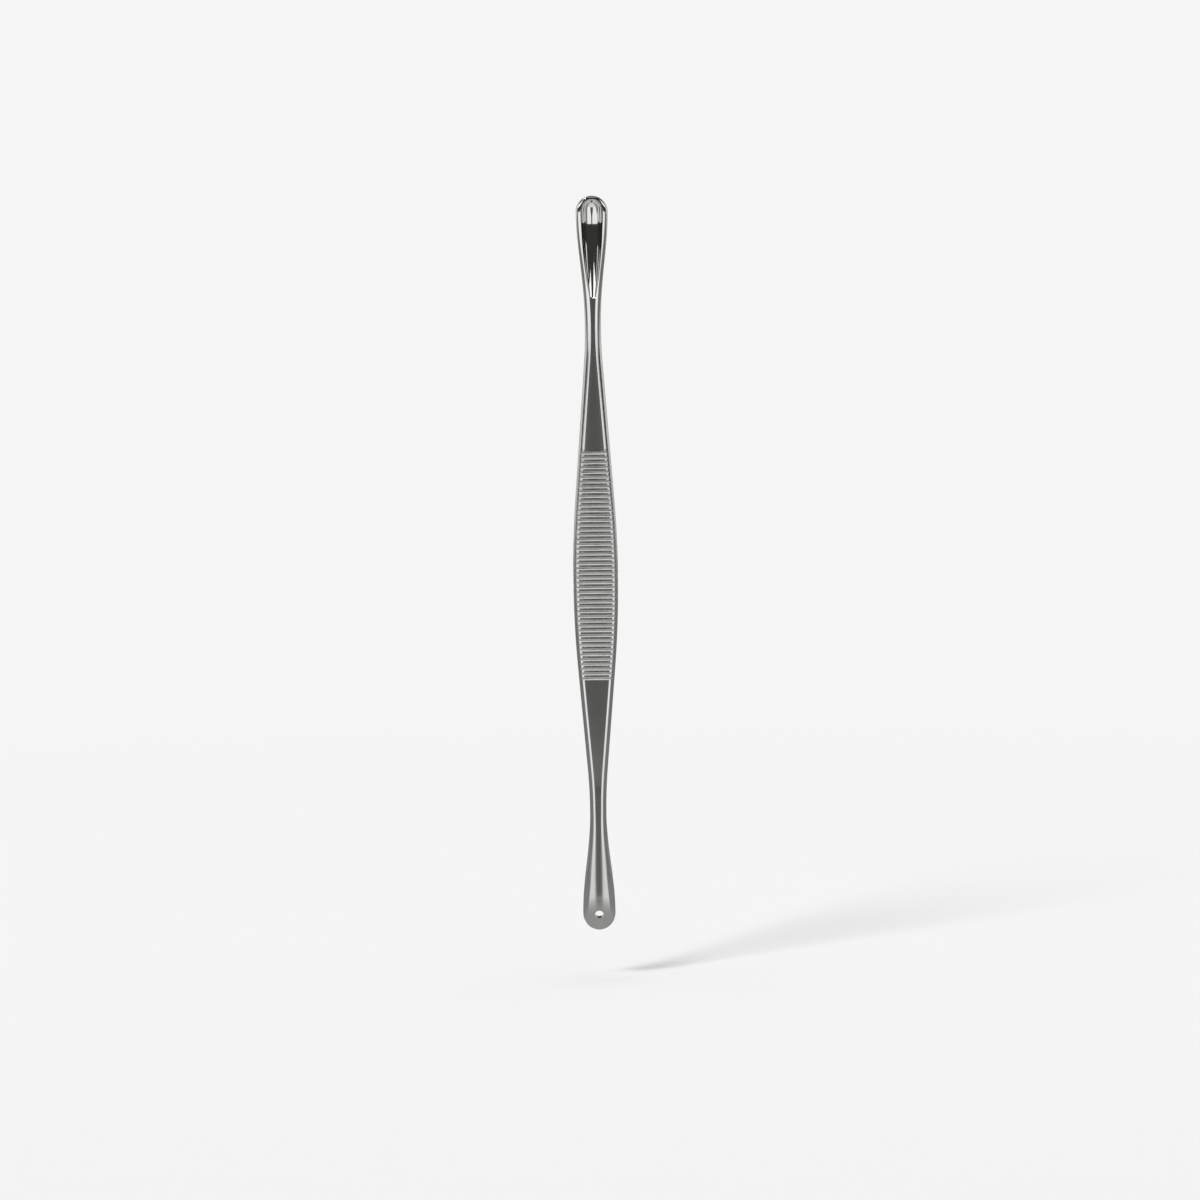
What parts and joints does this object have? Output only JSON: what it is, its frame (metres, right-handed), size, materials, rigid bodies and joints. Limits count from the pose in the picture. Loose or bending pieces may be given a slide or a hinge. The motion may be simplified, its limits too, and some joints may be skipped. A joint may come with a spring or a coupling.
{
  "type": "blackhead extractor",
  "caption": "Slim double-ended blackhead extractor: a ribbed flat handle with a polished scoop at one end and a small curled spoon with a round hole at the other.",
  "frame": {"origin": "middle of the ribbed grip, on the handle's centre plane", "axes": "+Z along the tool towards the scoop, -Y out of the front face that the scoop opens in, +X to the right as seen from the front"},
  "size_m": [0.0084, 0.0038, 0.14],
  "materials": {
    "handle": "satin stainless steel",
    "scoop_tip": "polished stainless steel",
    "perforated_tip": "satin stainless steel"
  },
  "bodies": {
    "root": {"handle": "handle", "scoop_tip": "scoop_tip", "perforated_tip": "perforated_tip"}
  },
  "joints": []
}
